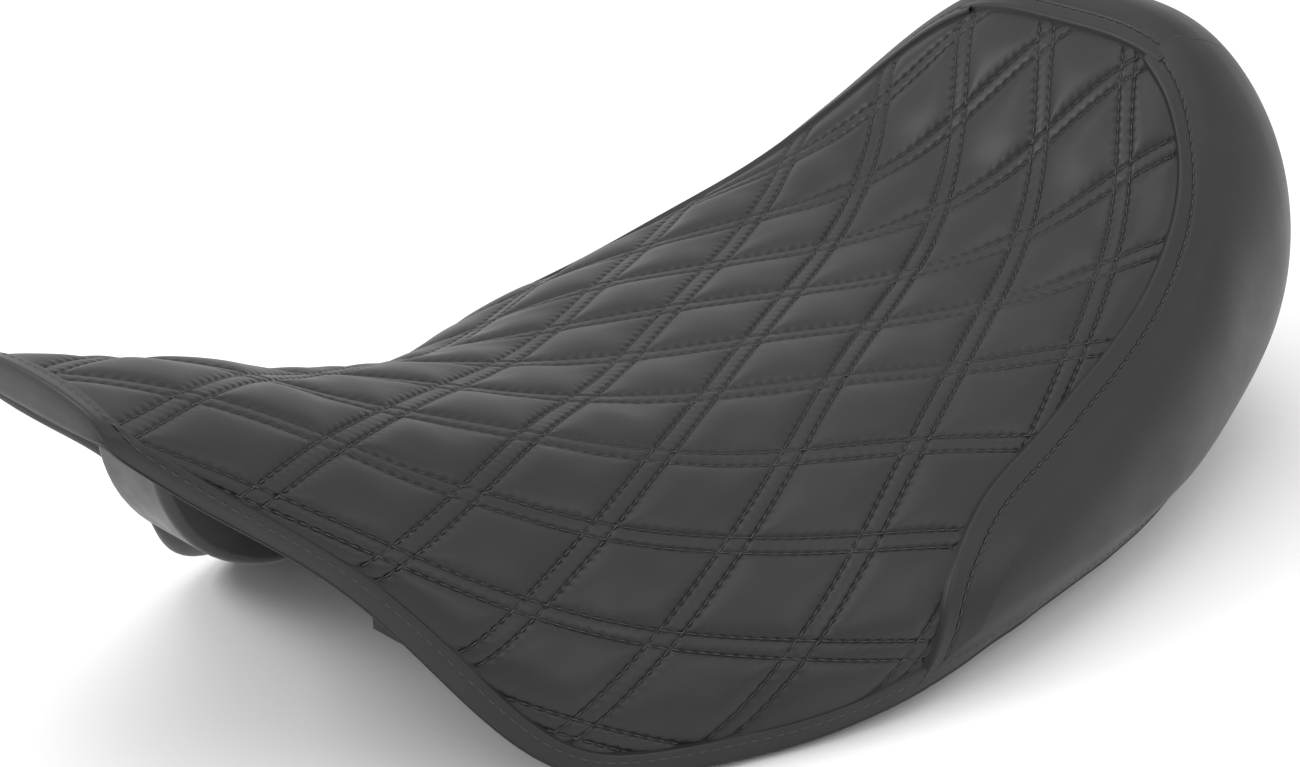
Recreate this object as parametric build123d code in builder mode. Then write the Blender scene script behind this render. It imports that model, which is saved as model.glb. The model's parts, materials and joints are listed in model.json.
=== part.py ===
"""Solo motorcycle seat: moulded pan, foam core, quilted cover, rear border and mounting hardware.

Frame: millimetres, +X towards the front of the motorcycle, +Y to the rider's left, +Z up.
The seat stands on the turned-under edge of its cover; the origin is at the middle of that base.
"""
from build123d import *
import os
from math import hypot

os.makedirs("parts", exist_ok=True)

# ---------------------------------------------------------------- driving dimensions
VINYL = 1.2             # thickness of the vinyl cover
SEW_FOAM = 6.0          # foam laminated behind the vinyl before it is sewn
CORE_DEPTH = 8.2        # the foam core starts this far below the cover surface
FOAM_EDGE = 1.0         # thinnest edge of the foam layers, where they meet the pan
PAN_WALL = 3.5          # wall of the moulded pan
GAP = 0.3               # free gap between layers that lie on each other
CORE_GAP = 2.0          # glue gap between the foam core and the pan
END_INSET = 3.0         # the pan stops this far inside the cover at the nose and the tail
SKIRT = 16.0            # width of the strip turned under the pan

SEAM_CENTRE_X = -207.0  # where the rear border starts on the centreline
SEAM_FOOT_X = 60.0      # where the border seam meets the lower edge
FAR = 260.0             # reach of the cutting solids beyond the seat

LOBE_X = 229.5          # round locating lobe on the centreline, under the nose
LOBE_Z = 133.0
LOBE_R = 57.2
LOBE_WIDTH = 40.0
LOBE_ROUND = 4.0

BOSS_R = 14.0           # round bosses that carry the bumpers
BOSS_Z = 20.0
BUMPER_R = 11.0
BUMPER_H = 10.0
STEM_R = 3.0
STEM_H = 5.0
BUMPERS = {"front": (103, 78), "middle": (-41, 84), "rear": (-178, 62)}

TONGUE_Z = 27.0         # underside of the front tongue
TONGUE_THICK = 3.0
TONGUE_WIDTH = 40.0
TONGUE_BACK = 30.0
TONGUE_TIP = 176.0
TONGUE_LIP = 12.0
TONGUE_BOSS_END = 106.0

TAB_Z = 15.0            # underside of the rear tab
TAB_THICK = 3.0
TAB_WIDTH = 36.0
TAB_FRONT = -205.0
TAB_TIP = -322.0
TAB_BOSS_END = -265.0
BOSS_MARGIN = 6.0

SCREW_X = -308.0        # captive screw in the rear tab
SCREW_R = 4.0
SHOULDER_R = 4.6        # the screw is thicker where it runs in its clip and bush
SHOULDER_Z = 7.5
SCREW_RUN = 0.05        # radial running clearance of the screw in its bush
SCREW_END_Z = 0.0
SCREW_FLOAT = 2.5       # how far the captive screw can lift
SCREW_END_PLAY = 0.3
KNOB_R = 10.0
KNOB_H = 9.0
KNOB_GRIPS = 12
KNOB_GRIP_R = 1.4
BUSH_R = 7.0
BUSH_FLANGE_R = 9.0
BUSH_FLANGE = 1.5
CLIP_R = 6.5
CLIP_H = 2.0

RIVET_R = 2.4
RIVET_HEAD_R = 4.8
RIVET_HEAD = 1.6
WASHER_R = 7.0
WASHER = 1.2
TOWER_R = 8.0           # towers in the pan that take the rivets, buried in the foam
FRONT_TOWER_Z = 47.0
REAR_TOWER_Z = 48.0
POCKET_H = 4.0          # foam cleared above a tower
FRONT_RIVETS = [(46, -12), (46, 12), (92, -12), (92, 12)]
REAR_RIVETS = [(-220, -10), (-220, 10), (-254, -10), (-254, 10)]

PAD = 3.0               # felt and foam pads glued under the pan
PAD_CORNER = 10.0
FELT_SPAN = (-140.0, 15.0)
FELT_WIDTH = 90.0
TANK_SPAN = (291.0, 315.0)
TANK_WIDTH = 60.0
STAPLE_PITCH = 26.0
STAPLE_CROWN = 10.0
STAPLE_WIRE = 0.9
STAPLE_LEG = 3.5
STAPLE_FRONT_X = 150.0
STAPLE_REAR_X = -205.0


class Station:
    """One cross-section of the seat: a half profile from the crown down to the rim."""

    def __init__(self, x, crown, upper, shoulder, flank, rim, arch):
        self.x = x              # distance along the seat
        self.crown = crown      # height on the centreline
        self.upper = upper      # (y, z) on the top panel
        self.shoulder = shoulder
        self.flank = flank
        self.rim = rim          # (y, z) of the lower edge of the cover
        self.arch = arch        # how far the pan rises at the centreline


STATIONS = [
    Station(322, 171, (22, 170), (36, 168), (44, 165), (43, 160), 1),
    Station(307, 168, (23, 166), (40, 161), (50, 153), (48, 146), 3),
    Station(280, 161, (24, 158), (46, 148), (60, 134), (58, 121), 6),
    Station(237, 146, (36, 139), (62, 121), (80, 92), (78, 78), 24),
    Station(195, 128, (48, 118), (85, 87), (117, 36), (118, 17), 48),
    Station(149, 114, (50, 107), (96, 72), (134, 24), (136, 5), 43),
    Station(103, 102, (52, 98), (110, 68), (151, 23), (151, 4), 34),
    Station(55, 97, (55, 94), (120, 70), (162, 28), (161, 9), 26),
    Station(8, 98, (60, 96), (125, 76), (165, 32), (159, 13), 22),
    Station(-41, 99, (65, 97), (130, 79), (161, 38), (152, 15), 22),
    Station(-87, 101, (68, 101), (128, 88), (153, 44), (143, 15), 24),
    Station(-131, 112, (66, 112), (118, 103), (143, 58), (130, 15), 26),
    Station(-168, 138, (60, 137), (108, 123), (132, 70), (115, 15), 28),
    Station(-197, 173, (50, 170), (98, 141), (122, 78), (102, 15), 28),
    Station(-221, 188, (44, 184), (90, 152), (114, 86), (89, 15), 26),
    Station(-246, 186, (40, 182), (80, 154), (102, 92), (72, 15), 20),
    Station(-268, 172, (32, 168), (62, 144), (82, 92), (52, 17), 14),
    Station(-285, 150, (22, 147), (40, 128), (54, 88), (32, 24), 8),
    Station(-294, 118, (9, 116), (15, 104), (19, 82), (12, 54), 3),
]
NOSE = STATIONS[0]
TAIL = STATIONS[-1]
FOAM_FRONT_X = 237.0        # the foam and the turned-under strip are cut off here, short of the nose
FOAM_REAR_X = -285.0
FULL_PAN_X = 280.0          # ahead of this the nose is too thin for foam to end on the pan

# the border seam seen from above, from the centreline to its foot
SEAM_PLAN = [(SEAM_CENTRE_X, 0), (-205, 50), (-183, 90), (-131, 115), (-63, 131), (-1, 144),
             (SEAM_FOOT_X, 170)]


# ---------------------------------------------------------------- section helpers
def inset_points(points, distance):
    """Move each point of an open half profile inwards, square to its neighbours."""
    moved = []
    for i, (y, z) in enumerate(points):
        y0, z0 = points[max(i - 1, 0)]
        y1, z1 = points[min(i + 1, len(points) - 1)]
        run = hypot(y1 - y0, z1 - z0)
        moved.append((y + (z1 - z0) / run * distance, z - (y1 - y0) / run * distance))
    return moved


def mirrored(half):
    """A full line from the left rim over the centreline to the right rim."""
    return [(y, z) for y, z in reversed(half)] + [(-y, z) for y, z in half[1:]]


def arch_z(station, y):
    """Height of the pan's underside at a distance from the centreline, a parabola over the rim."""
    return station.rim[1] + GAP + station.arch * (1 - (y / station.rim[0]) ** 2)


def cover_line(depth, on_pan=False):
    """The cover surface, or a surface at a depth below it, as a function of the station.

    It ends at the rim, or on top of the pan for the foam layers."""
    def line(station):
        half = [(0, station.crown), station.upper, station.shoulder, station.flank, station.rim]
        moved = inset_points(half, depth)
        moved[0] = (0, station.crown - depth)
        end_y, end_z = station.rim[0] - depth, station.rim[1]
        if on_pan and station.x > FULL_PAN_X:
            end_z -= depth
        elif on_pan:
            end_z = arch_z(station, end_y) + PAN_WALL + CORE_GAP + FOAM_EDGE
            rise = (end_z - station.rim[1]) / (station.flank[1] - station.rim[1])
            end_y += (station.flank[0] - station.rim[0]) * rise
        moved[-1] = (end_y, end_z)
        return mirrored(moved)
    return line


def pan_line(lift, narrowing=VINYL + GAP):
    """The arched underside of the pan, raised by lift, as a function of the station."""
    def line(station):
        end_y = station.rim[0] - narrowing
        half = [(end_y * i / 3, arch_z(station, end_y * i / 3) + lift) for i in range(4)]
        return mirrored(half)
    return line


def core_floor(station):
    """Underside of the foam core, just above the pan."""
    end_y = cover_line(CORE_DEPTH, on_pan=True)(station)[0][0]
    if station.x > FULL_PAN_X:
        return mirrored([(end_y * i / 3, station.rim[1] - CORE_DEPTH - FOAM_EDGE) for i in range(4)])
    return mirrored([(end_y * i / 3, arch_z(station, end_y * i / 3) + PAN_WALL + CORE_GAP) for i in range(4)])


def ground_line(station):
    """A level line well below the pan."""
    end_y = station.rim[0] - VINYL - GAP
    return mirrored([(end_y * i / 3, -FAR) for i in range(4)])


def section(x, upper, lower):
    """A closed face across the seat between two lines that run from left rim to right rim."""
    with BuildSketch(Plane(origin=(x, 0, 0), x_dir=(0, 1, 0), z_dir=(1, 0, 0))) as outline:
        with BuildLine():
            Spline(*upper)
            Line(upper[-1], lower[-1])
            Spline(*reversed(lower))
            Line(lower[0], upper[0])
        make_face()
    return outline.sketch


def lofted(stations, end_inset, upper_line, lower_line):
    """Loft between two lines through a run of stations; the seat's two ends can be drawn in."""
    sections = []
    for station in stations:
        x = station.x - end_inset * (station is NOSE) + end_inset * (station is TAIL)
        sections.append(section(x, upper_line(station), lower_line(station)))
    with BuildPart() as body:
        loft(sections=sections)
    return body.part


def save(builder, name):
    """Label a finished piece and write it under its node name."""
    builder.part.label = name
    export_step(builder.part, f"parts/{name}.step")


# ---------------------------------------------------------------- zones that divide the cover
with BuildPart() as border_zone:
    with BuildSketch(Plane.XY.offset(-FAR)):
        with BuildLine():
            Spline(*SEAM_PLAN[::-1], *[(x, -y) for x, y in SEAM_PLAN[1:]])
            Polyline((SEAM_FOOT_X, -SEAM_PLAN[-1][1]), (SEAM_FOOT_X, -FAR), (-2 * FAR, -FAR),
                     (-2 * FAR, FAR), (SEAM_FOOT_X, FAR), (SEAM_FOOT_X, SEAM_PLAN[-1][1]))
        make_face()
    extrude(amount=3 * FAR)

cover_skin = lofted(STATIONS, 0, cover_line(0), cover_line(VINYL))
below_pan = lofted(STATIONS, END_INSET, pan_line(PAN_WALL / 2), ground_line)

with BuildPart() as nose_end:
    with Locations((FOAM_FRONT_X, 0, 0)):
        Box(FAR, 2 * FAR, 2 * FAR, align=(Align.MIN, Align.CENTER, Align.CENTER))

with BuildPart() as both_ends:
    add(nose_end.part)
    with Locations((FOAM_REAR_X, 0, 0)):
        Box(FAR, 2 * FAR, 2 * FAR, align=(Align.MAX, Align.CENTER, Align.CENTER))

with BuildPart() as foam_skin:
    add(lofted(STATIONS, 0, cover_line(VINYL + GAP, True), cover_line(VINYL + SEW_FOAM, True)))
    add(both_ends.part, mode=Mode.SUBTRACT)


# ---------------------------------------------------------------- shared shapes
class RivetGroup:
    """Rivets that hold one bracket against a boss of the pan."""

    def __init__(self, points, bracket_z, tower_z):
        self.points = points
        self.bracket_z = bracket_z      # underside of the bracket
        self.tower_z = tower_z          # top of the rivet towers, above the pan


RIVET_GROUPS = {"front": RivetGroup(FRONT_RIVETS, TONGUE_Z, FRONT_TOWER_Z),
                "rear": RivetGroup(REAR_RIVETS, TAB_Z, REAR_TOWER_Z)}
SCREW_AT = [(SCREW_X, 0)]


def columns(points, radius, low, high):
    """Upright cylinders at a group of points."""
    with BuildPart() as group:
        with Locations(*[(x, y, low) for x, y in points]):
            Cylinder(radius, high - low, align=(Align.CENTER, Align.CENTER, Align.MIN))
    return group.part


def block(x_low, x_high, width, low, high, corner):
    """Upright block on the centreline with rounded corners."""
    with BuildPart() as solid:
        with BuildSketch(Plane((0, 0, low))):
            with Locations(((x_low + x_high) / 2, 0)):
                RectangleRounded(x_high - x_low, width, corner)
        extrude(amount=high - low)
    return solid.part


def both_sides(x, y):
    """The same place on both sides of the seat."""
    return [(x, y), (x, -y)]


# ---------------------------------------------------------------- moulded pan
with BuildPart() as bosses:
    for x, y in BUMPERS.values():
        add(columns(both_sides(x, y), BOSS_R, BOSS_Z, FAR))
    add(block(TONGUE_BACK, TONGUE_BOSS_END, TONGUE_WIDTH + BOSS_MARGIN, TONGUE_Z + TONGUE_THICK, FAR, 5))
    add(block(TAB_BOSS_END, TAB_FRONT, TAB_WIDTH + BOSS_MARGIN, TAB_Z + TAB_THICK, FAR, 5))
    add(below_pan, mode=Mode.INTERSECT)

with BuildPart() as lobe:
    with BuildSketch(Plane(origin=(LOBE_X, LOBE_WIDTH / 2, LOBE_Z), z_dir=(0, -1, 0))):
        Circle(LOBE_R)
    extrude(amount=LOBE_WIDTH)
    fillet(lobe.edges(), LOBE_ROUND)
    add(below_pan, mode=Mode.INTERSECT)

with BuildPart() as base_pan:
    add(lofted(STATIONS, END_INSET, pan_line(PAN_WALL), pan_line(0)))
    add(bosses.part)
    add(lobe.part)
    for group in RIVET_GROUPS.values():
        add(columns(group.points, TOWER_R, group.bracket_z + TONGUE_THICK, group.tower_z))
        add(columns(group.points, RIVET_R, 0, FAR), mode=Mode.SUBTRACT)
    for x, y in BUMPERS.values():
        add(columns(both_sides(x, y), STEM_R, BOSS_Z, BOSS_Z + STEM_H), mode=Mode.SUBTRACT)
save(base_pan, "base_pan")

# ---------------------------------------------------------------- foam
with BuildPart() as rivet_pockets:
    for group in RIVET_GROUPS.values():
        add(columns(group.points, TOWER_R + GAP, 0, group.tower_z + POCKET_H))

for name, zone_mode in (("quilt_sew_foam", Mode.SUBTRACT), ("border_sew_foam", Mode.INTERSECT)):
    with BuildPart() as layer:
        add(foam_skin.part)
        add(border_zone.part, mode=zone_mode)
    save(layer, name)

with BuildPart() as foam_core:
    add(lofted(STATIONS, 0, cover_line(CORE_DEPTH, True), core_floor))
    add(both_ends.part, mode=Mode.SUBTRACT)
    add(rivet_pockets.part, mode=Mode.SUBTRACT)
save(foam_core, "foam_core")

# ---------------------------------------------------------------- sewn cover
with BuildPart() as quilted_panel:
    add(cover_skin)
    add(border_zone.part, mode=Mode.SUBTRACT)
save(quilted_panel, "quilted_panel")

with BuildPart() as rear_border_panel:
    add(cover_skin)
    add(border_zone.part, mode=Mode.INTERSECT)
save(rear_border_panel, "rear_border_panel")

tail_face = section(TAIL.x, cover_line(VINYL + GAP)(TAIL), pan_line(0)(TAIL))
with BuildPart() as tail_facing:
    extrude(tail_face, amount=VINYL - GAP, dir=(1, 0, 0))
save(tail_facing, "tail_facing")

nose_face = section(NOSE.x, cover_line(VINYL + GAP)(NOSE), pan_line(0)(NOSE))
with BuildPart() as nose_facing:
    extrude(nose_face, amount=VINYL - GAP, dir=(-1, 0, 0))
save(nose_facing, "nose_facing")


def skirt_section(station, side):
    """Section of the turned-under strip on one side of the seat."""
    edge = []
    for inset, drop in ((GAP, 0), (SKIRT, 0), (SKIRT, VINYL - GAP), (GAP, VINYL - GAP)):
        y = station.rim[0] - VINYL - inset
        edge.append((side * y, arch_z(station, y) - GAP - drop))
    with BuildSketch(Plane(origin=(station.x, 0, 0), x_dir=(0, 1, 0), z_dir=(1, 0, 0))) as strip:
        with BuildLine():
            Polyline(*edge, close=True)
        make_face()
    return strip.sketch


with BuildPart() as edge_skirt:
    for side in (-1, 1):
        loft(sections=[skirt_section(station, side) for station in STATIONS[:-2]])
    add(nose_end.part, mode=Mode.SUBTRACT)
save(edge_skirt, "edge_skirt")

# ---------------------------------------------------------------- staples round the turned-under strip
staple_count = int((STAPLE_FRONT_X - STAPLE_REAR_X) / STAPLE_PITCH) + 1


def rim_width(x):
    """Half width of the rim at a distance along the seat."""
    for front, rear in zip(STATIONS, STATIONS[1:]):
        if front.x >= x >= rear.x:
            part = (front.x - x) / (front.x - rear.x)
            return front.rim[0] + part * (rear.rim[0] - front.rim[0])
    raise ValueError(f"no section at x = {x}")


with BuildPart() as cover_staples:
    for i in range(staple_count):
        x = STAPLE_FRONT_X - i * STAPLE_PITCH
        for side in (-1, 1):
            y = side * (rim_width(x) - SKIRT * 0.6)
            point, normal = edge_skirt.part.find_intersection_points(Axis((x, y, -FAR), (0, 0, 1)))[0]
            with BuildSketch(Plane(origin=point, x_dir=(1, 0, 0), z_dir=-normal)):
                Rectangle(STAPLE_CROWN, STAPLE_WIRE)
            extrude(amount=STAPLE_WIRE)
            with BuildSketch(Plane(origin=point, x_dir=(1, 0, 0), z_dir=-normal)):
                with GridLocations(STAPLE_CROWN - STAPLE_WIRE, 0, 2, 1):
                    Rectangle(STAPLE_WIRE, STAPLE_WIRE)
            extrude(amount=STAPLE_LEG)
save(cover_staples, "cover_staples")

# ---------------------------------------------------------------- pads glued under the pan
pad_skin = lofted(STATIONS, END_INSET, pan_line(-GAP), pan_line(-PAD))
for name, x_low, x_high, width in (("felt_pad", *FELT_SPAN, FELT_WIDTH), ("tank_pad", *TANK_SPAN, TANK_WIDTH)):
    with BuildPart() as pad:
        add(block(x_low, x_high, width, 0, FAR, PAD_CORNER))
        add(pad_skin, mode=Mode.INTERSECT)
    save(pad, name)

# ---------------------------------------------------------------- rubber bumpers
for name, (x, y) in BUMPERS.items():
    with BuildPart() as bumper:
        add(columns(both_sides(x, y), BUMPER_R, BOSS_Z - BUMPER_H, BOSS_Z))
        fillet(bumper.edges().group_by(Axis.Z)[0], BUMPER_H * 0.25)
        add(columns(both_sides(x, y), STEM_R, BOSS_Z, BOSS_Z + STEM_H))
    save(bumper, f"{name}_bumpers")

# ---------------------------------------------------------------- front tongue
with BuildPart() as front_tongue:
    add(block(TONGUE_BACK, TONGUE_TIP, TONGUE_WIDTH, TONGUE_Z, TONGUE_Z + TONGUE_THICK, 8))
    with BuildSketch(Plane((TONGUE_TIP, 0, TONGUE_Z - TONGUE_LIP))):
        Rectangle(TONGUE_THICK, TONGUE_WIDTH - 16, align=(Align.MAX, Align.CENTER))
    extrude(amount=TONGUE_LIP + TONGUE_THICK)
    add(columns(FRONT_RIVETS, RIVET_R, 0, FAR), mode=Mode.SUBTRACT)
save(front_tongue, "front_tongue")

# ---------------------------------------------------------------- rear tab, bush and captive screw
with BuildPart() as rear_tab:
    add(block(TAB_TIP, TAB_FRONT, TAB_WIDTH, TAB_Z, TAB_Z + TAB_THICK, 9))
    add(columns(REAR_RIVETS, RIVET_R, 0, FAR), mode=Mode.SUBTRACT)
    add(columns(SCREW_AT, BUSH_R, 0, FAR), mode=Mode.SUBTRACT)
save(rear_tab, "rear_tab")

tab_top = TAB_Z + TAB_THICK
with BuildPart() as tab_bush:
    add(columns(SCREW_AT, BUSH_R, TAB_Z, tab_top))
    add(columns(SCREW_AT, BUSH_FLANGE_R, TAB_Z - BUSH_FLANGE, TAB_Z))
    add(columns(SCREW_AT, BUSH_FLANGE_R, tab_top, tab_top + BUSH_FLANGE))
    add(columns(SCREW_AT, SHOULDER_R + SCREW_RUN, 0, FAR), mode=Mode.SUBTRACT)
save(tab_bush, "tab_bush")

clip_top = TAB_Z - BUSH_FLANGE - SCREW_FLOAT - SCREW_END_PLAY
with BuildPart() as retaining_clip:
    add(columns(SCREW_AT, CLIP_R, clip_top - CLIP_H, clip_top))
    add(columns(SCREW_AT, SHOULDER_R + SCREW_RUN, 0, FAR), mode=Mode.SUBTRACT)
save(retaining_clip, "retaining_clip")

knob_low = tab_top + BUSH_FLANGE + SCREW_END_PLAY
with BuildPart() as thumb_screw:
    add(columns(SCREW_AT, SCREW_R, SCREW_END_Z, SHOULDER_Z))
    chamfer(thumb_screw.edges().group_by(Axis.Z)[0], SCREW_R * 0.2)
    add(columns(SCREW_AT, SHOULDER_R, SHOULDER_Z, knob_low + KNOB_H / 2))
    with BuildSketch(Plane((SCREW_X, 0, knob_low))):
        Circle(KNOB_R)
        with PolarLocations(KNOB_R, KNOB_GRIPS):
            Circle(KNOB_GRIP_R)
    extrude(amount=KNOB_H)
save(thumb_screw, "thumb_screw")

# ---------------------------------------------------------------- rivets and washers
for name, group in RIVET_GROUPS.items():
    tail_z = group.tower_z + WASHER
    with BuildPart() as rivets:
        add(columns(group.points, RIVET_R, group.bracket_z, tail_z))
        add(columns(group.points, RIVET_HEAD_R, group.bracket_z - RIVET_HEAD, group.bracket_z))
        fillet(rivets.edges().group_by(Axis.Z)[0], RIVET_HEAD * 0.6)
        add(columns(group.points, RIVET_HEAD_R, tail_z, tail_z + RIVET_HEAD))
    save(rivets, f"{name}_rivets")
    with BuildPart() as washers:
        add(columns(group.points, WASHER_R, group.tower_z, tail_z))
        add(columns(group.points, RIVET_R, 0, FAR), mode=Mode.SUBTRACT)
    save(washers, f"{name}_rivet_washers")
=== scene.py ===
"""Looks for the motorcycle seat: quilted vinyl, border, edge strip, stitches and hardware finishes."""

import json
import math

import bpy
import numpy as np
from mathutils import Matrix, Vector
from mathutils.bvhtree import BVHTree

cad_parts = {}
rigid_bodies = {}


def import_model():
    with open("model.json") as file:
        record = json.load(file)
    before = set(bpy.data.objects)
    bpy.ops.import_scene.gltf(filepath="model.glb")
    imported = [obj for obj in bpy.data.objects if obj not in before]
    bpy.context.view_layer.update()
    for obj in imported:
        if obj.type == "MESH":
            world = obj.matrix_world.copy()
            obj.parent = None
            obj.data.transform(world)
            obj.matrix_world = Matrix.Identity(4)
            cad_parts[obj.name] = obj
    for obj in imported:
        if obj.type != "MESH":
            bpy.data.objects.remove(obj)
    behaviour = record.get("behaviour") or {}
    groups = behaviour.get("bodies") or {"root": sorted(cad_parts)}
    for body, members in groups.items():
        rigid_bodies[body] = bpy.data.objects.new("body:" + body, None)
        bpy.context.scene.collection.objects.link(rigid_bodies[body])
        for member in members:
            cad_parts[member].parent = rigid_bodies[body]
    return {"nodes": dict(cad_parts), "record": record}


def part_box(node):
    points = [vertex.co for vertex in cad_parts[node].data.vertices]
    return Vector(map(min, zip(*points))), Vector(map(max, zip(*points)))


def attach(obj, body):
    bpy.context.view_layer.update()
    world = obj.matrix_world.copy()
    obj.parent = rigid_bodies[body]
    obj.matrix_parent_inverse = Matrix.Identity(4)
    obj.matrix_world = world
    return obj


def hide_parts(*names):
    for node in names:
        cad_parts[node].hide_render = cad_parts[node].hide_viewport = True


for leftover in list(bpy.data.objects):
    bpy.data.objects.remove(leftover, do_unlink=True)
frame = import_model()


def write_size():
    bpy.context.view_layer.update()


write_size()

# ---------------------------------------------------------------- driving values, in metres
BODY = "seat"
MM = 0.001
SIDE_STEP = 47.1 * MM           # half the short diagonal between lattice lines, along a section
LONG_STEP = 92.3 * MM           # long diagonal of the lattice, along the centreline
LATTICE_X = -41 * MM            # where the lattice has its fifth crossing on the centreline
LATTICE_AT = 5.0
ROW = 0.0834                    # half the gap between twin rows, as a share of the line spacing
LINE_GAP = 42.0 * MM            # distance between neighbouring lattice lines
SIDE = 52.0 * MM                # side of a diamond
STITCH = 5.2 * MM
STITCH_LENGTH = 3.9 * MM
THREAD_R = 0.42 * MM
PUFF = 2.2 * MM                 # how far a diamond stands above its stitches
GROOVE = 0.9 * MM
SINK = 0.7 * MM
HEM = 8.0 * MM                  # height of the edge strip above the rim
SKIRT = 16.0 * MM
LAP = 1.6 * MM                  # thickness of the folded border edge on the quilt
TOPSTITCH = 9.0 * MM            # topstitch row, from the fold
TOPSTITCH_DIP = 0.75 * MM       # depth and half width of its groove
SWELL = 1.6 * MM                # how far the border's padding stands above its flat band
PUFF_FROM = 3.0 * MM            # the diamonds start this far inside the panel's edge
PUFF_FULL = 16.0 * MM           # and are full height here
NOSE_FROM, NOSE_FULL = 300 * MM, 318 * MM       # where the strip deepens to the front of the nose
TAIL_FROM, TAIL_FULL = 255 * MM, 280 * MM       # where its turn-in narrows round the tail
TAIL_NARROWER = 0.75            # share of the turn-in lost there
KNOB_GAP = 0.7 * MM             # from the strip to the screw's knob
# the border seam seen from above, from its left foot to the centreline, as in the design
SEAM_PLAN = [(60, 170), (-1, 144), (-63, 131), (-131, 115), (-183, 90), (-205, 50), (-207, 0)]


# ---------------------------------------------------------------- reading the designed surface
def tree_of(*nodes):
    """One search tree over the meshes of some CAD nodes."""
    verts, faces = [], []
    for node in nodes:
        mesh = frame["nodes"][node].data
        start = len(verts)
        verts += [v.co.copy() for v in mesh.vertices]
        faces += [[start + i for i in p.vertices] for p in mesh.polygons]
    return BVHTree.FromPolygons(verts, faces)


cover_tree = tree_of("quilted_panel", "rear_border_panel")
REACH = 0.5


def from_outside(origin, direction):
    """The outermost cover point on a ray that leaves an inner point, or None."""
    direction = direction.normalized()
    start = origin + direction * REACH
    hit = cover_tree.ray_cast(start, -direction, REACH * 1.02)
    return hit[0]


def smooth(array, sigma, axis=0, mode="edge"):
    """Gaussian smoothing of an array along one axis."""
    width = int(3 * sigma) + 1
    kernel = np.exp(-0.5 * (np.arange(-width, width + 1) / sigma) ** 2)
    kernel /= kernel.sum()
    moved = np.moveaxis(array, axis, 0)
    if mode == "line":
        before = 2 * moved[:1] - moved[width:0:-1]
        after = 2 * moved[-1:] - moved[-2:-width - 2:-1]
        padded = np.concatenate([before, moved, after])
    else:
        padded = np.concatenate([moved[width:0:-1], moved, moved[-2:-width - 2:-1]])
    out = sum(k * padded[i:i + len(moved)] for i, k in enumerate(kernel))
    return np.moveaxis(out, 0, axis)


def run_of(line):
    """Distance along a line at each of its points."""
    return np.concatenate([[0], np.cumsum(np.linalg.norm(np.diff(line, axis=0), axis=1))])


def at_run(line, places, run):
    """Points of a line at places on its run."""
    return np.stack([np.interp(places, run, line[:, k]) for k in range(line.shape[1])], axis=1)


def evenly(line, count):
    """A number of evenly spaced points on a line."""
    run = run_of(line)
    return at_run(line, np.linspace(0, run[-1], count), run)


def spaced(line, step):
    """Evenly spaced points on a line, about a step apart."""
    return evenly(line, int(run_of(line)[-1] / step) + 1)


def unit(steps):
    """Vectors scaled to length one."""
    return steps / (np.linalg.norm(steps, axis=-1, keepdims=True) + 1e-12)


def between(p0, p1, p2, p3, f):
    """A smooth step from p1 to p2, with their neighbours p0 and p3."""
    return 0.5 * (2 * p1 + (p2 - p0) * f + (2 * p0 - 5 * p1 + 4 * p2 - p3) * f * f
                  + (3 * p1 - p0 - 3 * p2 + p3) * f ** 3)


SECTIONS = 300                  # sections across the seat, from the nose to the tail
ACROSS = 100                    # points on each half section
SPOKES = 120                    # rays that look for the cover in a half section
CLOSING = 26                    # rows that close the tail
TAIL_BLEND = 30                 # rows in front of them that are smoothed with them
TAIL_BULGE = 2.5 * MM
NOSE_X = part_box("quilted_panel")[1].x - 0.6 * MM
TAIL_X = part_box("rear_border_panel")[0].x + 1.5 * MM


def half_section(x):
    """Points of the cover from the crown to the left rim, on a plane across the seat."""
    crown = from_outside(Vector((x, 0.5 * MM, 0)), Vector((0, 0, 1)))
    rim_z = crown.z
    for z in np.arange(crown.z - 1 * MM, -1 * MM, -1 * MM):
        if cover_tree.ray_cast(Vector((x, REACH, z)), Vector((0, -1, 0)), REACH)[0] is None:
            break
        rim_z = z
    centre = Vector((x, 0, rim_z + 0.3 * (crown.z - rim_z)))

    def spoke(angle):
        return from_outside(centre, Vector((0, math.sin(angle), math.cos(angle))))

    line = [crown]
    last = 0.0
    for angle in np.radians(np.linspace(1.5, 170, SPOKES)):
        hit = spoke(angle)
        if hit is None:
            break
        line.append(hit)
        last = angle
    # closer spokes find the rim itself
    hits = [spoke(angle) for angle in last + np.radians(np.linspace(0.1, 1.4, 14))]
    line += [hit for hit in hits if hit is not None]
    return np.array([tuple(point) for point in line])


def symmetric(half_grid):
    """Half sections smoothed along and across the seat, with their crowns on the centreline."""
    half_grid = smooth(half_grid, 3.0, mode="line")
    mirrored = half_grid[:, ::-1] * [1, -1, 1]
    both = smooth(np.concatenate([mirrored[:, :-1], half_grid], axis=1), 1.5, axis=1, mode="line")
    half_grid = both[:, ACROSS - 1:].copy()
    half_grid[:, 0, 1] = 0
    return half_grid


def with_closed_tail(half_grid):
    """The grid with more rows, which draw the last section together on the centreline."""
    closing = [half_grid[-1] * [1, 1 - f, 1] - [TAIL_BULGE * (1 - (1 - f) ** 2), 0, 0]
               for f in np.linspace(0, 1, CLOSING + 1)[1:]]
    tail_rows = smooth(np.concatenate([half_grid[-TAIL_BLEND:], closing]), 3.0, mode="line")
    closed = np.concatenate([half_grid[:-TAIL_BLEND], tail_rows])
    closed[-1, :, 1] = 0
    return closed


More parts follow.
